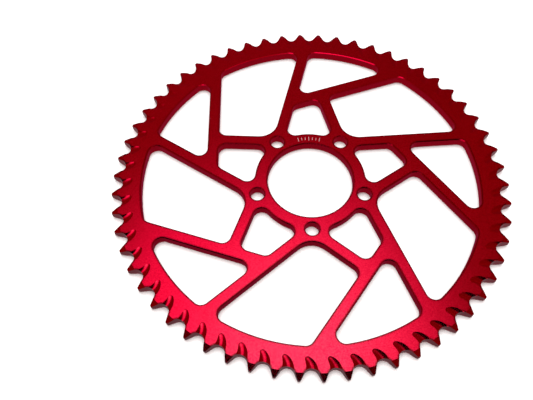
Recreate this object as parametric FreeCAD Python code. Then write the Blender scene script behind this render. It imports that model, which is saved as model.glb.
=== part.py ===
import FreeCAD, Part
import math
import os

# Rear chain sprocket of a light off-road motorcycle: one flat plate with 58 teeth, a hub bore,
# five bolt holes and fifteen windows between its spokes.
# Millimetres and degrees, +Z up.  The origin is on the bore axis in the plane of the underside,
# the face that sits on the wheel hub.  The outer face is at z = PLATE_T.
# One bolt hole lies on the -Y axis.  Angles are anticlockwise seen from +Z.

Vector = FreeCAD.Vector
ORIGIN = (0.0, 0.0)
UP = Vector(0, 0, 1)

# Chain and toothing
TEETH = 58
TOOTH_STEP = 360.0 / TEETH
CHAIN_PITCH = 12.70
ROLLER_D = 7.75
PLATE_T = 6.0
PITCH_R = CHAIN_PITCH / 2.0 / math.sin(math.pi / TEETH)
ROOT_R = PITCH_R - ROLLER_D / 2.0
TIP_R = 119.75
SEAT_R = 4.30                # roller seat at the bottom of a gap
SEAT_ANGLE = 129.0           # arc of the seat in each gap
FLANK_R = 60.0               # bulging tooth flank
FLANK_TURN_MAX = 23.0        # arc of flank that surely passes the tip circle
TOOTH_PHASE = 1.55           # from the -Y bolt to the next tooth tip
FIRST_GAP = -90.0 + TOOTH_PHASE + TOOTH_STEP / 2.0
GAP_ANGLES = [FIRST_GAP + i * TOOTH_STEP for i in range(TEETH)]

# Turned bevel that points the teeth, the same on both faces
BEVEL_R = 116.0              # where the bevel leaves the flat face
TIP_LAND = 3.0               # tooth thickness left at TIP_R
ENVELOPE_R = TIP_R + 2.0     # outside of the turned envelope, clear of the teeth

# Relief groove at the foot of each gap, on both faces.  A ball-nosed tool starts inside the rim
# and runs out and down into the gap along a curve.  Headings are from the outward radius.
GROOVE_BALL_R = 6.0
GROOVE_PATH_R = 9.0
GROOVE_HEAD_IN = 41.9        # heading at the start of the cut
GROOVE_HEAD_OUT = 9.2        # heading where the path crosses the root circle
GROOVE_HEAD_END = -44.0      # heading at the end of the path, beyond the tips
GROOVE_OFFSET = 0.08         # sideways from mid gap to that crossing
GROOVE_DEPTH_IN = 0.18       # depth at the start of the cut
GROOVE_DEPTH_OUT = 0.80      # depth at the root circle

# Hub interface
BORE_R = 25.85
BOLTS = 5
SECTOR = 360.0 / BOLTS
BOLT_PCD = 67.2
BOLT_HOLE_R = 4.15
EDGE_BREAK = 0.45            # 45 degree edge break on bore, holes and windows
CUT_MARGIN = 1.0             # cutters reach this far beyond both faces
CONE_MARGIN = 0.5            # edge-break cones reach this far beyond the face

# Spoke pattern in the sector round the -Y bolt.  Each spoke is a straight bar between two
# parallel lines n.p = distance, where n is the unit normal at the angle.
# Columns: angle of the normal, near distance, far distance
LONG_BAR = (22.03, 22.16, 28.95)       # hub ring to rim
CROSS_BAR = (-35.45, 56.31, 63.11)     # long bar to rim
SHORT_BAR = (-128.21, 23.84, 30.65)    # bolt boss to cross bar
RIM_IN_R = 101.90            # inside of the toothed rim
RING_OUT_R = 33.50           # outside of the hub ring
FILLET = 5.0                 # window corner
BOSS_FILLET = 12.0           # large window corner at each bolt boss

# Tolerances of the window edge search
FLAT_TOL = 1e-4
RADIUS_TOL = 0.05


# Plane geometry: points are (x, y) pairs
def unit(angle):
    radians = math.radians(angle)
    return (math.cos(radians), math.sin(radians))


def turn(point, angle):
    """Point turned about the origin."""
    x, y = point
    cosine, sine = unit(angle)
    return (x * cosine - y * sine, x * sine + y * cosine)


def offset(point, direction, distance):
    return (point[0] + direction[0] * distance, point[1] + direction[1] * distance)


def vector(point):
    return Vector(point[0], point[1], 0)


def mid_on_circle(centre, radius, start, end):
    """Middle of the short arc from start to end."""
    x = (start[0] + end[0]) / 2 - centre[0]
    y = (start[1] + end[1]) / 2 - centre[1]
    return offset(centre, (x, y), radius / math.hypot(x, y))


def arc_through(start, middle, end):
    return Part.Arc(vector(start), vector(middle), vector(end)).toShape()


def turned_arc(centre, radius, start, end, angle):
    """Short arc from start to end, turned about the origin."""
    middle = mid_on_circle(centre, radius, start, end)
    return arc_through(turn(start, angle), turn(middle, angle), turn(end, angle))


# Tooth outline
def gap_half():
    """Flank side of one gap centred on +X, on its +Y side: end of the seat arc, middle of the
    flank, and end of the flank on the tip circle."""
    cosine, sine = unit(SEAT_ANGLE / 2.0)
    seat_end = (ROOT_R + SEAT_R - SEAT_R * cosine, SEAT_R * sine)
    # The outline leaves the seat along (sine, cosine); the flank centre is on the tooth side.
    flank_centre = offset(seat_end, (-cosine, sine), FLANK_R)
    spoke = (seat_end[0] - flank_centre[0], seat_end[1] - flank_centre[1])

    def on_flank(angle):
        return offset(flank_centre, turn(spoke, angle), 1.0)

    # Halve the interval until the flank point lies on the tip circle.
    low, high = 0.0, FLANK_TURN_MAX
    for _ in range(80):
        middle = (low + high) / 2
        if math.hypot(*on_flank(middle)) < TIP_R:
            low = middle
        else:
            high = middle
    return seat_end, on_flank(low / 2), on_flank(low)


def tooth_outline():
    left = gap_half()
    right = [(x, -y) for x, y in left]
    tip_x, tip_y = left[2]
    if math.degrees(math.atan2(tip_y, tip_x)) >= TOOTH_STEP / 2:
        raise ValueError("tooth flanks cross before the tip circle")
    edges = []
    for angle in GAP_ANGLES:
        seat_a, flank_a, tip_a = [turn(point, angle) for point in right]
        seat_b, flank_b, tip_b = [turn(point, angle) for point in left]
        next_tip = turn(right[2], angle + TOOTH_STEP)
        edges += [
            arc_through(tip_a, flank_a, seat_a),
            arc_through(seat_a, turn((ROOT_R, 0), angle), seat_b),
            arc_through(seat_b, flank_b, tip_b),
            arc_through(tip_b, mid_on_circle(ORIGIN, TIP_R, tip_b, next_tip), next_tip),
        ]
    return Part.Wire(edges)


def bevel_envelope():
    """Turned disc with bevelled faces that limits the thickness of the teeth."""
    bevel_drop = (PLATE_T - TIP_LAND) / 2.0
    edge_z = bevel_drop + bevel_drop * (ENVELOPE_R - TIP_R) / (TIP_R - BEVEL_R)
    profile = Part.makePolygon([
        Vector(0, 0, 0),
        Vector(BEVEL_R, 0, 0),
        Vector(ENVELOPE_R, 0, edge_z),
        Vector(ENVELOPE_R, 0, PLATE_T - edge_z),
        Vector(BEVEL_R, 0, PLATE_T),
        Vector(0, 0, PLATE_T),
        Vector(0, 0, 0),
    ])
    return Part.Face(profile).revolve(Vector(0, 0, 0), UP, 360)


# Relief grooves
def groove_tool():
    """Cutter for the upper groove of the gap on +X: a ball at the inner end and a ring segment
    of the same radius that follows the path out past the tips."""
    crossing = Vector(ROOT_R, GROOVE_OFFSET, 0)
    cosine, sine = unit(GROOVE_HEAD_OUT)
    centre = crossing + Vector(sine * GROOVE_PATH_R, -cosine * GROOVE_PATH_R, 0)
    cosine, sine = unit(GROOVE_HEAD_IN)
    start = centre + Vector(-sine * GROOVE_PATH_R, cosine * GROOVE_PATH_R, 0)
    circle = Part.makeCircle(GROOVE_BALL_R, start, Vector(cosine, sine, 0))
    disc = Part.Face(Part.Wire(circle))
    tool = disc.revolve(centre, Vector(0, 0, -1), GROOVE_HEAD_IN - GROOVE_HEAD_END)
    tool = tool.fuse(Part.makeSphere(GROOVE_BALL_R, start))
    # Tip the path down towards the gap.
    run = crossing - start
    slope = math.degrees(math.atan2(GROOVE_DEPTH_OUT - GROOVE_DEPTH_IN, run.Length))
    tool.rotate(crossing, Vector(-run.y, run.x, 0), slope)
    tool.translate(Vector(0, 0, PLATE_T + GROOVE_BALL_R - GROOVE_DEPTH_OUT))
    return tool


def groove_cutters():
    upper = groove_tool()
    lower = upper.mirror(Vector(0, 0, PLATE_T / 2.0), UP)
    cutters = []
    for angle in GAP_ANGLES:
        for tool in (upper, lower):
            cutter = tool.copy()
            cutter.rotate(Vector(0, 0, 0), UP, angle)
            cutters.append(cutter)
    return cutters


# Bore and bolt holes
BOLT_CENTRES = [turn((0.0, -BOLT_PCD / 2.0), SECTOR * i) for i in range(BOLTS)]


def round_cutter(centre, radius):
    """Cylinder with a cone at each face for the edge break."""
    x, y = centre
    wide = radius + EDGE_BREAK + CONE_MARGIN
    height = EDGE_BREAK + CONE_MARGIN
    core = Part.makeCylinder(radius, PLATE_T + 2 * CUT_MARGIN, Vector(x, y, -CUT_MARGIN))
    low = Part.makeCone(wide, radius, height, Vector(x, y, -CONE_MARGIN))
    high = Part.makeCone(radius, wide, height, Vector(x, y, PLATE_T - EDGE_BREAK))
    return core.fuse([low, high])


# Windows.  A line is (angle, distance) and the window lies where n.p < distance.
# A corner is (centre, radius, start, end), in the order the outline runs.
def near_line(bar):
    angle, near, _ = bar
    return (angle, near)


def far_line(bar, shift=0.0):
    """Far side of a bar, facing away from it, with the bar turned by shift."""
    angle, _, far = bar
    return (angle + shift + 180.0, -far)


def crossing_point(angle_a, distance_a, angle_b, distance_b):
    """Point on both lines."""
    ax, ay = unit(angle_a)
    bx, by = unit(angle_b)
    det = ax * by - ay * bx
    return ((distance_a * by - distance_b * ay) / det,
            (ax * distance_b - bx * distance_a) / det)


def line_corner(line_a, line_b, radius=FILLET):
    """Corner that runs from line_a to line_b."""
    angle_a, distance_a = line_a
    angle_b, distance_b = line_b
    centre = crossing_point(angle_a, distance_a - radius, angle_b, distance_b - radius)
    start = offset(centre, unit(angle_a), radius)
    end = offset(centre, unit(angle_b), radius)
    return centre, radius, start, end


def circle_corner(line, circle_r, side):
    """Corner that runs from a line to the rim or ring circle.  side is +1 for the crossing
    anticlockwise of the line's normal, -1 for the clockwise one."""
    angle, distance = line
    inside = circle_r == RIM_IN_R
    centre_r = circle_r - FILLET if inside else circle_r + FILLET
    across = distance - FILLET
    along = side * math.sqrt(centre_r * centre_r - across * across)
    centre = turn((across, along), angle)
    scale = circle_r / math.hypot(*centre)
    end = (centre[0] * scale, centre[1] * scale)
    return centre, FILLET, offset(centre, unit(angle), FILLET), end


def backwards(corner):
    centre, radius, start, end = corner
    return centre, radius, end, start


def window_outline(corners, curved_side, circle_r, angle):
    """Closed outline through the corners, turned by angle.  The side after corner number
    curved_side follows the origin circle; the others are straight."""
    edges = []
    for i, (centre, radius, start, end) in enumerate(corners):
        following = corners[(i + 1) % len(corners)][2]
        edges.append(turned_arc(centre, radius, start, end, angle))
        if i == curved_side:
            edges.append(turned_arc(ORIGIN, circle_r, end, following, angle))
        else:
            edges.append(Part.makeLine(vector(turn(end, angle)), vector(turn(following, angle))))
    return Part.Wire(edges)


def inner_window(angle):
    """Small window between the hub ring and the long, cross and short bars."""
    long_side, cross_side, short_side = [near_line(bar) for bar in
                                         (LONG_BAR, CROSS_BAR, SHORT_BAR)]
    corners = [
        backwards(circle_corner(long_side, RING_OUT_R, -1)),
        line_corner(long_side, cross_side),
        line_corner(cross_side, short_side),
        circle_corner(short_side, RING_OUT_R, 1),
    ]
    return window_outline(corners, 3, RING_OUT_R, angle)


def outer_window(angle):
    """Triangular window between the cross bar, the long bar and the rim."""
    long_side = near_line(LONG_BAR)
    cross_side = far_line(CROSS_BAR)
    corners = [
        line_corner(cross_side, long_side),
        circle_corner(long_side, RIM_IN_R, -1),
        backwards(circle_corner(cross_side, RIM_IN_R, 1)),
    ]
    return window_outline(corners, 1, RIM_IN_R, angle)


def main_window(angle):
    """Large window from the bolt boss to the rim, bounded by the next sector's long bar."""
    long_side = far_line(LONG_BAR, -SECTOR)
    short_side = far_line(SHORT_BAR)
    cross_side = near_line(CROSS_BAR)
    corners = [
        line_corner(long_side, short_side, BOSS_FILLET),
        line_corner(short_side, cross_side),
        circle_corner(cross_side, RIM_IN_R, -1),
        backwards(circle_corner(long_side, RIM_IN_R, 1)),
    ]
    return window_outline(corners, 2, RIM_IN_R, angle)


def window_cutters():
    cutters = []
    for i in range(BOLTS):
        for window in (inner_window, outer_window, main_window):
            face = Part.Face(window(SECTOR * i))
            cutter = face.extrude(Vector(0, 0, PLATE_T + 2 * CUT_MARGIN))
            cutter.translate(Vector(0, 0, -CUT_MARGIN))
            cutters.append(cutter)
    return cutters


def on_window_edge(edge):
    """True for an edge where a window wall meets a flat face."""
    box = edge.BoundBox
    if box.ZMax - box.ZMin > FLAT_TOL:
        return False
    if abs(box.ZMin) > FLAT_TOL and abs(box.ZMin - PLATE_T) > FLAT_TOL:
        return False
    for point in edge.discretize(5):
        radius = math.hypot(point.x, point.y)
        if radius > RIM_IN_R + RADIUS_TOL or radius < RING_OUT_R - RADIUS_TOL:
            return False
        for x, y in BOLT_CENTRES:
            if math.hypot(point.x - x, point.y - y) < BOLT_HOLE_R + 2 * EDGE_BREAK:
                return False
    return True


def sprocket_plate():
    plate = Part.Face(tooth_outline()).extrude(Vector(0, 0, PLATE_T))
    plate = plate.common(bevel_envelope())
    plate = plate.cut(groove_cutters())
    bolt_cutters = [round_cutter(centre, BOLT_HOLE_R) for centre in BOLT_CENTRES]
    plate = plate.cut([round_cutter(ORIGIN, BORE_R)] + bolt_cutters)
    plate = plate.cut(window_cutters())
    window_edges = [edge for edge in plate.Edges if on_window_edge(edge)]
    return plate.makeChamfer(EDGE_BREAK, window_edges).Solids[0]


os.makedirs("parts", exist_ok=True)
sprocket_plate().exportStep("parts/sprocket_plate.step")
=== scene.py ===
"""Red anodised sprocket plate lying flat on a pale floor, centred on the Z axis.

Units are metres, +Z is up and the camera looks down from the -Y side. The lighting hangs on
an empty that turns with the camera: in its frame +X is camera right and +Y leads away from it.
"""
import math
import bpy
import bmesh
from mathutils import Matrix, Vector


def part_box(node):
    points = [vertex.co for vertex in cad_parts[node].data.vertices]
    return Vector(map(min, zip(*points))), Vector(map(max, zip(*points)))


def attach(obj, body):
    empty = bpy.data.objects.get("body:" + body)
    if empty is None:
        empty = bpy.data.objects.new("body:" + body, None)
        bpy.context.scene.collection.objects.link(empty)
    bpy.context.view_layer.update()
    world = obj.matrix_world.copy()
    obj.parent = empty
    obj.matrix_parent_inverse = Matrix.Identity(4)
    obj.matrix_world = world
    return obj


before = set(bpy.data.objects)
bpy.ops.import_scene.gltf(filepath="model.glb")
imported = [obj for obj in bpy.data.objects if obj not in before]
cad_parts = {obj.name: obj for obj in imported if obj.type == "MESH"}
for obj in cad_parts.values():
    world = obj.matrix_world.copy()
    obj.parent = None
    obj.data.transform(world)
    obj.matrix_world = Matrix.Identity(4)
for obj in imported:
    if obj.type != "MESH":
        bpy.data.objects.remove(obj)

MM = 0.001
scene = bpy.context.scene
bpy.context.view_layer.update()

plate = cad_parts["sprocket_plate"]
plate_lo, plate_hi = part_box("sprocket_plate")
FACE_Z = plate_hi.z
FLOOR_Z = plate_lo.z
MID_Z = (plate_lo.z + plate_hi.z) / 2

# index strokes on the hub ring
STROKE_COUNT = 7
STROKE_PITCH = math.radians(4.3)
STROKE_RING_RADIUS = 29.7 * MM
STROKE_HALF_WIDTH = 0.17 * MM
LONG_HALF, SHORT_HALF = 1.25 * MM, 0.80 * MM    # half lengths, without the round ends
STROKE_SINK, STROKE_RISE = 0.02 * MM, 0.015 * MM    # below and above the plate's top face
CAP_POINTS = 9

# camera
LENS, SENSOR_WIDTH = 40.58409, 36.0     # in millimetres, as Blender takes them
ELEVATION = math.radians(60.592)
ROLL = math.radians(0.452)
TURN = math.radians(0.490)              # of the whole view, about Z
DISTANCE = 359.40 * MM
TARGET_X, TARGET_Y = -26.432 * MM, -12.899 * MM
AIM_LEFT, AIM_UP = 0.000499276, 0.000482634     # small shift of the aim, as slopes

# overhead sun, aimed at the origin
SUN_BACK, SUN_HEIGHT = 0.20, 1.0

FLOOR_HALF = 6.0


class Graph:
    """Builds a node tree. Values may be sockets, which get linked, or plain defaults."""

    def __init__(self, tree):
        self.tree = tree
        tree.nodes.clear()

    def node(self, kind, sockets=None, **settings):
        node = self.tree.nodes.new(kind)
        for name, value in settings.items():
            setattr(node, name, value)
        for key, value in (sockets or {}).items():
            if isinstance(value, bpy.types.NodeSocket):
                self.tree.links.new(value, node.inputs[key])
            else:
                node.inputs[key].default_value = value
        return node

    def math(self, operation, *values):
        sockets = dict(enumerate(values))
        return self.node("ShaderNodeMath", sockets, operation=operation).outputs[0]

    def add(self, total, *others):
        for value in others:
            total = self.math("ADD", total, value)
        return total

    def times(self, product, *others):
        for value in others:
            product = self.math("MULTIPLY", product, value)
        return product

    def vector_math(self, operation, *values):
        node = self.node("ShaderNodeVectorMath", dict(enumerate(values)), operation=operation)
        scalar = operation in ("DOT_PRODUCT", "LENGTH")
        return node.outputs["Value" if scalar else "Vector"]

    def split(self, vector):
        return self.node("ShaderNodeSeparateXYZ", {0: vector}).outputs

    def step(self, value, span, out=(0.0, 1.0)):
        """Smooth change from out[0] to out[1] as the value crosses the span."""
        sockets = {"Value": value, "From Min": span[0], "From Max": span[1],
                   "To Min": out[0], "To Max": out[1]}
        node = self.node("ShaderNodeMapRange", sockets, interpolation_type="SMOOTHSTEP")
        return node.outputs["Result"]

    def fall(self, value, span):
        return self.step(value, span, out=(1.0, 0.0))

    def mix(self, factor, first, second):
        # 6 and 7 are the colour inputs of the mix node, 2 is its colour output
        sockets = {0: factor, 6: first, 7: second}
        return self.node("ShaderNodeMix", sockets, data_type="RGBA").outputs[2]

    def mix_shader(self, factor, first, second):
        return self.node("ShaderNodeMixShader", {0: factor, 1: first, 2: second}).outputs[0]

    def noise(self, vector, scale, detail, rough):
        sockets = {"Vector": vector, "Scale": scale, "Detail": detail, "Roughness": rough}
        return self.node("ShaderNodeTexNoise", sockets, noise_dimensions="3D").outputs["Fac"]

    def bump(self, height, strength, distance):
        sockets = {"Height": height, "Strength": strength, "Distance": distance}
        return self.node("ShaderNodeBump", sockets).outputs[0]

    def object_coords(self, **settings):
        return self.node("ShaderNodeTexCoord", **settings).outputs["Object"]

    def background(self, color, strength):
        sockets = {"Color": color, "Strength": strength}
        return self.node("ShaderNodeBackground", sockets).outputs[0]


def new_material(name):
    material = bpy.data.materials.new(name)
    material.use_nodes = True
    return material, Graph(material.node_tree)


def add_object(name, data):
    made = bpy.data.objects.new(name, data)
    scene.collection.objects.link(made)
    return made


# ---------------------------------------------------------------------------
# plate: red anodised aluminium
# ---------------------------------------------------------------------------
def red_anodised(rig):
    material, g = new_material("red_anodised_aluminium")
    deep = (0.90, 0.0050, 0.052, 1.0)
    light = (0.96, 0.0070, 0.062, 1.0)
    mottled = (0.52, 0.003, 0.026, 1.0)
    # painted shade: near-black tone for the rims of the flats
    painted_rim_shade = (0.07, 0.0, 0.004, 1.0)
    # painted highlight: paler tone for the edge breaks
    painted_edge_highlight = (0.90, 0.030, 0.085, 1.0)
    # painted reflection: pale floor tone for the tooth flanks
    painted_flank_reflection = (0.62, 0.09, 0.12, 1.0)

    # satin grain; the shrunk z draws it out into upright marks on the walls
    coords = g.object_coords()
    grain_coords = g.vector_math("MULTIPLY", coords, (1.0, 1.0, 0.12))
    grain = g.noise(grain_coords, scale=3600.0, detail=2.0, rough=0.6)
    fine = g.noise(coords, scale=9000.0, detail=1.0, rough=0.5)
    cloud = g.noise(coords, scale=55.0, detail=3.0, rough=0.55)
    mottle = g.noise(coords, scale=1900.0, detail=2.0, rough=0.65)

    # sharp edges, where a bevelled normal leaves the true one
    normal = g.node("ShaderNodeNewGeometry").outputs["True Normal"]
    bevel = g.node("ShaderNodeBevel", {"Radius": 0.22 * MM}, samples=4)
    edge = g.math("SUBTRACT", 1.0, g.vector_math("DOT_PRODUCT", bevel.outputs[0], normal))
    edge = g.step(edge, span=(0.018, 0.070))

    # mask for the painted rim shade: rims, where the metal below the surface is thin
    inside = g.node("ShaderNodeAmbientOcclusion", {"Distance": 1.4 * MM},
                    samples=6, inside=True, only_local=True)
    rim_shade_mask = g.fall(inside.outputs["AO"], span=(0.76, 0.95))
    normal_z = g.split(normal)[2]
    flat = g.step(g.math("ABSOLUTE", normal_z), span=(0.985, 0.9995))

    def upright():
        return g.fall(g.math("ABSOLUTE", normal_z), span=(0.15, 0.45))

    base = g.mix(g.step(cloud, span=(0.35, 0.65)), deep, light)
    base = g.mix(g.step(mottle, span=(0.33, 0.67), out=(0.0, 0.66)), base, mottled)
    speck_amount = 0.35
    speck = g.step(grain, span=(0.30, 0.72))
    base = g.mix(g.times(speck, speck_amount), base, light)

    # painted shade: a dark line along the rims of the flats, standing in for the dark
    # reflection in the edge chamfers; fainter away from the camera
    rim_shade_amount = 0.92
    away = g.split(g.object_coords(object=rig))[1]
    nearness = g.step(away, span=(15.0 * MM, 60.0 * MM), out=(1.0, 0.15))
    base = g.mix(g.times(rim_shade_mask, nearness, flat, rim_shade_amount), base, painted_rim_shade)

    # painted highlight: a paler, pinker tone on the edge breaks
    edge_highlight_amount = 0.30
    off_flat = g.math("SUBTRACT", 1.0, flat)
    base = g.mix(g.times(edge, off_flat, edge_highlight_amount), base, painted_edge_highlight)

    # painted reflection of the pale floor: upright faces near the tooth tips are paler
    flank_reflection_amount = 0.9
    radius = g.vector_math("LENGTH", g.vector_math("MULTIPLY", coords, (1.0, 1.0, 0.0)))
    far_out = g.step(radius, span=(112.0 * MM, 113.2 * MM))
    base = g.mix(g.times(far_out, upright(), flank_reflection_amount), base, painted_flank_reflection)

    # roughness: a base value, varied a little by grain and cloud
    rough_base, rough_grain, rough_cloud = 0.15, 0.04, 0.01
    rough = g.add(rough_base, g.times(grain, rough_grain), g.times(cloud, rough_cloud))
    # coat: patchy with the mottle, heavier on upright walls
    wall_coat = 0.45
    coat = g.add(g.step(mottle, span=(0.33, 0.67), out=(0.24, 0.0)),
                 g.times(upright(), wall_coat))
    grain_share, fine_share = 0.75, 0.25
    height = g.add(g.times(grain, grain_share), g.times(fine, fine_share))
    shader = g.node("ShaderNodeBsdfPrincipled", {
        "Base Color": base,
        "Metallic": 1.0,
        "Roughness": rough,
        "Coat Weight": coat,
        "Coat Roughness": 0.17,
        "Coat IOR": 1.6,
        "Normal": g.bump(height, strength=0.22, distance=0.012 * MM),
    })
    g.node("ShaderNodeOutputMaterial", {"Surface": shader.outputs[0]})
    material.diffuse_color = (0.66, 0.0, 0.03, 1.0)
    return material


def dress_plate(rig):
    for slot in plate.material_slots:
        slot.material = None
    if not plate.data.materials:
        plate.data.materials.append(None)
    plate.material_slots[0].material = red_anodised(rig)


# ---------------------------------------------------------------------------
# row of laser-marked index strokes
# ---------------------------------------------------------------------------
def mark_material():
    material, g = new_material("laser_mark")
    dark, pale = (0.30, 0.06, 0.07, 1), (0.62, 0.42, 0.43, 1)
    coords = g.object_coords()
    grain = g.noise(coords, scale=5200.0, detail=2.0, rough=0.6)
    streaks = g.noise(g.vector_math("MULTIPLY", coords, (1.0, 7.0, 1.0)),
                      scale=1500.0, detail=1.0, rough=0.5)
    grain_share, streak_share = 0.6, 0.4
    blend = g.add(g.times(grain, grain_share), g.times(streaks, streak_share))
    rough_base, rough_grain = 0.55, 0.3
    shader = g.node("ShaderNodeBsdfPrincipled", {
        "Base Color": g.mix(g.step(blend, span=(0.36, 0.62)), dark, pale),
        "Metallic": 0.0,
        "Roughness": g.add(rough_base, g.times(grain, rough_grain)),
        "Normal": g.bump(grain, strength=0.4, distance=0.01 * MM),
    })
    g.node("ShaderNodeOutputMaterial", {"Surface": shader.outputs[0]})
    return material


def add_stroke(bm, angle, half_length):
    """Thin radial slab with round ends, closed all round."""
    radial = Vector((math.cos(angle), math.sin(angle), 0))
    tangent = Vector((-math.sin(angle), math.cos(angle), 0))
    low, high = [], []
    for side in (1, -1):        # outer end, then inner end
        for k in range(CAP_POINTS):
            sweep = math.pi * k / (CAP_POINTS - 1)
            along = side * (half_length + STROKE_HALF_WIDTH * math.sin(sweep))
            across = side * STROKE_HALF_WIDTH * math.cos(sweep)
            point = radial * (STROKE_RING_RADIUS + along) + tangent * across
            low.append(bm.verts.new((point.x, point.y, FACE_Z - STROKE_SINK)))
            high.append(bm.verts.new((point.x, point.y, FACE_Z + STROKE_RISE)))
    bm.faces.new(high)
    bm.faces.new(list(reversed(low)))
    for k in range(len(low)):
        after = (k + 1) % len(low)
        bm.faces.new((low[k], low[after], high[after], high[k]))


def add_index_strokes():
    """Strokes along the hub ring, centred on +Y; every third one is long."""
    bm = bmesh.new()
    for i in range(STROKE_COUNT):
        angle = math.pi / 2 + (i - (STROKE_COUNT - 1) / 2) * STROKE_PITCH
        add_stroke(bm, angle, LONG_HALF if i % 3 == 0 else SHORT_HALF)
    bmesh.ops.recalc_face_normals(bm, faces=bm.faces)
    mesh = bpy.data.meshes.new("index_strokes")
    bm.to_mesh(mesh)
    bm.free()
    strokes = add_object("index_strokes", mesh)
    mesh.materials.append(mark_material())
    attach(strokes, "root")


# ---------------------------------------------------------------------------
# camera
# ---------------------------------------------------------------------------
def add_camera():
    back = Vector((0.0, -math.cos(ELEVATION), math.sin(ELEVATION)))
    eye = Vector((TARGET_X, TARGET_Y, 0.0)) + back * DISTANCE
    forward = -back
    level_right = Vector((1.0, 0.0, 0.0))
    level_down = forward.cross(level_right)
    right = level_right * math.cos(ROLL) + level_down * math.sin(ROLL)
    down = -level_right * math.sin(ROLL) + level_down * math.cos(ROLL)

    # shift the aim, then square the axes up again
    forward = (forward - right * AIM_LEFT - down * AIM_UP).normalized()
    right = (right - forward * right.dot(forward)).normalized()
    down = forward.cross(right)

    turn = Matrix.Rotation(TURN, 3, "Z")
    axes = Matrix((turn @ right, turn @ (-down), turn @ (-forward))).transposed()
    eye = turn @ eye + Vector((0, 0, MID_Z))

    data = bpy.data.cameras.new("camera")
    data.sensor_fit = "HORIZONTAL"
    data.sensor_width = SENSOR_WIDTH
    data.lens = LENS
    data.clip_start = 0.01
    data.clip_end = 20.0
    camera = add_object("camera", data)
    camera.matrix_world = Matrix.Translation(eye) @ axes.to_4x4()
    scene.camera = camera
    return camera


# ---------------------------------------------------------------------------
# lighting: x, y, z are the parts of a unit direction in the rig's frame
# ---------------------------------------------------------------------------
def ellipse(g, x, y, centre, radii):
    """Squared distance from the centre, 1 on the ellipse."""
    across = g.math("DIVIDE", g.math("SUBTRACT", x, centre[0]), radii[0])
    along = g.math("DIVIDE", g.math("SUBTRACT", y, centre[1]), radii[1])
    return g.add(g.times(across, across), g.times(along, along))


def softbox_level(g, x, y, z):
    """Large overhead patch, rounded on the right, squarer and leaning on the left."""
    falloff, round_gain, gain = 4.0, 1.0, 1.28
    above_horizon = (-0.02, 0.10)
    spread = ellipse(g, x, y, centre=(0.0, 0.212), radii=(0.281, 0.285))
    patch = g.math("EXPONENT", g.times(g.math("POWER", spread, falloff), -1.0))
    patch = g.times(patch, g.step(z, span=above_horizon), round_gain)

    lean_slope, lean_pivot_y = 0.16, 0.40
    shift = g.times(g.math("SUBTRACT", y, lean_pivot_y), lean_slope)
    square = g.times(g.step(g.math("SUBTRACT", x, shift), span=(-0.276, -0.150)),
                     g.fall(x, span=(-0.10, 0.0)),
                     g.fall(y, span=(0.390, 0.537)),
                     g.step(z, span=above_horizon))
    patch = g.math("MAXIMUM", patch, square)
    return g.times(patch, g.step(y, span=(-0.115, 0.015)), gain)


def strip_level(g, x, y, z):
    """Bright strip on the camera side, bowed down at its ends and fading to the right."""
    left_end, left_slope = 0.40, -0.25
    right_end, right_slope = -0.10, 0.12
    bow = g.math("MAXIMUM",
                 g.times(g.add(x, left_end), left_slope),
                 g.times(g.math("SUBTRACT", x, -right_end), right_slope))
    bowed_z = g.add(z, g.math("MAXIMUM", bow, 0.0))
    return g.times(g.step(bowed_z, span=(0.610, 0.655)),
                   g.fall(bowed_z, span=(0.73, 0.79)),
                   g.fall(y, span=(-0.50, -0.38)),
                   g.step(x, span=(-0.80, -0.48)),
                   g.step(x, span=(-0.05, 0.34), out=(1.7, 0.42)))


def room_level(g, x, y):
    """Dim surroundings: far half with a lifted patch, near half lit from both sides."""
    far_half = g.step(y, span=(-0.12, -0.034))
    room = g.times(g.step(x, span=(0.0, 0.28), out=(0.235, 0.19)),
                   g.step(x, span=(-0.60, -0.20), out=(0.84, 1.0)),
                   far_half)
    lift_x = g.times(g.step(x, span=(0.05, 0.13)),
                     g.step(x, span=(0.22, 0.34), out=(1.0, 0.6)))
    lift = g.times(g.step(y, span=(0.50, 0.63), out=(0.36, 0.0)),
                   g.step(y, span=(0.28, 0.42)),
                   lift_x)
    room = g.times(room, g.add(lift, 1.0))
    sides = g.add(g.step(x, span=(0.27, 0.47), out=(0.0, 0.17)),
                  g.step(x, span=(-0.66, -0.46), out=(0.20, 0.0)))
    sides = g.times(sides, g.step(y, span=(-0.70, -0.52)))
    return g.add(room, g.times(g.math("SUBTRACT", 1.0, far_half), sides))


def low_near_level(g, y, z):
    """Low band on the camera side."""
    return g.times(g.fall(z, span=(0.05, 0.19)),
                   g.step(y, span=(-0.45, -0.10), out=(0.30, 0.0)),
                   g.step(y, span=(-0.82, -0.62)))


def glossy_tint(g, x, y, level):
    """Red in the dim parts, pink in the bright ones, green in the softbox's heart."""
    dim, dim_far = (1.0, 0.012, 0.050, 1), (1.0, 0.10, 0.20, 1)
    bright, heart = (1.0, 0.20, 0.66, 1), (1.0, 2.90, 1.62, 1)
    tint = g.mix(g.step(y, span=(0.50, 0.88)), dim, dim_far)
    tint = g.mix(g.step(level, span=(0.15, 1.10)), tint, bright)
    spread = g.math("SQRT", ellipse(g, x, y, centre=(0.040, 0.22), radii=(0.205, 0.250)))
    return g.mix(g.step(spread, span=(0.30, 1.0)), heart, tint)


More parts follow.
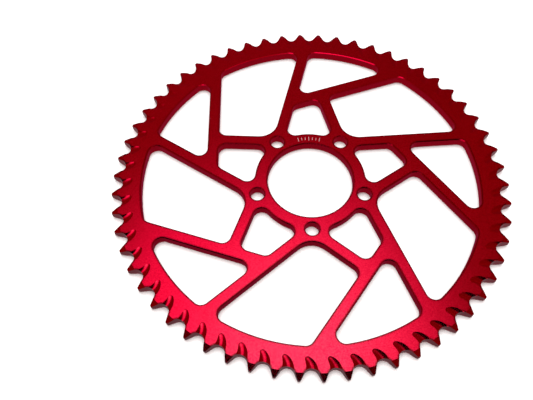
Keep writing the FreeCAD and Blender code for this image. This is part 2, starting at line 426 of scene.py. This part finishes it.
def build_world(rig):
    """Separate surroundings for reflections, diffuse light and the camera's own view."""
    world = bpy.data.worlds.new("studio")
    scene.world = world
    world.cycles.sampling_method = "NONE"
    world.use_nodes = True
    g = Graph(world.node_tree)
    x, y, z = g.split(g.vector_math("NORMALIZE", g.object_coords(object=rig)))
    level = g.add(g.add(softbox_level(g, x, y, z), strip_level(g, x, y, z)),
                  g.add(room_level(g, x, y), low_near_level(g, y, z)))
    glossy = g.background(color=glossy_tint(g, x, y, level), strength=level)
    soft = g.background(color=(1.0, 0.90, 0.885, 1.0), strength=0.62)
    seen = g.background(color=(1.0, 1.0, 1.0, 1.0), strength=1.2)
    ray = g.node("ShaderNodeLightPath").outputs
    lit = g.mix_shader(ray["Is Glossy Ray"], soft, glossy)
    surface = g.mix_shader(ray["Is Camera Ray"], lit, seen)
    g.node("ShaderNodeOutputWorld", {"Surface": surface})


def add_sun(rig):
    lamp = bpy.data.lights.new("overhead", "SUN")
    lamp.angle = math.radians(53.0)
    lamp.energy = 3.1
    sun = add_object("overhead", lamp)
    sun.location = (0.0, SUN_BACK, SUN_HEIGHT)
    sun.rotation_euler = (-math.atan(SUN_BACK / SUN_HEIGHT), 0.0, 0.0)
    sun.visible_glossy = False
    sun.visible_camera = False
    sun.parent = rig


# ---------------------------------------------------------------------------
# pale floor
# ---------------------------------------------------------------------------
def floor_material():
    """Plain diffuse floor that glows with a set strength in reflections."""
    material, g = new_material("pale_floor")
    contact, deep = (1.0, 0.90, 0.90, 1), (1.0, 0.10, 0.30, 1)
    outer = (1.0, 0.85, 0.90, 1)
    near_span = (0.2 * MM, 1.6 * MM)    # length of the reflected ray

    incoming = g.node("ShaderNodeNewGeometry").outputs["Incoming"]
    turned = g.node("ShaderNodeVectorTransform", {0: incoming}, vector_type="VECTOR",
                    convert_from="WORLD", convert_to="OBJECT")
    _, y, z = g.split(turned.outputs[0])
    aim = g.math("MAXIMUM",
                 g.step(y, span=(-0.90, -0.62), out=(0.01, 1.0)),
                 g.step(z, span=(0.30, 0.45), out=(0.7, 0.0)))
    length = g.node("ShaderNodeLightPath").outputs["Ray Length"]
    glow = g.add(g.step(length, span=near_span, out=(0.14, 0.0)),
                 g.step(z, span=(0.76, 0.95), out=(0.26, 0.15)))

    radius = g.vector_math("LENGTH", g.object_coords())
    outside = g.step(radius, span=(112.5 * MM, 114.0 * MM))
    color = g.mix(g.step(length, span=near_span), contact, g.mix(outside, deep, outer))
    reflected = g.node("ShaderNodeEmission", {"Color": color, "Strength": g.times(aim, glow)})
    diffuse = g.node("ShaderNodeBsdfDiffuse", {"Color": (0.95, 0.95, 0.945, 1.0)})
    is_glossy = g.node("ShaderNodeLightPath").outputs["Is Glossy Ray"]
    surface = g.mix_shader(is_glossy, diffuse.outputs[0], reflected.outputs[0])
    g.node("ShaderNodeOutputMaterial", {"Surface": surface})
    return material


def add_floor(rig):
    corners = [(x * FLOOR_HALF, y * FLOOR_HALF, FLOOR_Z)
               for x, y in ((-1, -1), (1, -1), (1, 1), (-1, 1))]
    mesh = bpy.data.meshes.new("floor")
    mesh.from_pydata(corners, [], [(0, 1, 2, 3)])
    mesh.materials.append(floor_material())
    floor = add_object("floor", mesh)
    floor.constraints.new("COPY_ROTATION").target = rig


light_rig = add_object("light_rig", None)
dress_plate(light_rig)
add_index_strokes()

follow = light_rig.constraints.new("COPY_ROTATION")
follow.target = add_camera()
follow.use_x = follow.use_y = False
build_world(light_rig)
add_sun(light_rig)
add_floor(light_rig)

scene.view_settings.view_transform = "Standard"
scene.view_settings.look = "None"
scene.view_settings.exposure = 0.0
scene.view_settings.gamma = 1.0
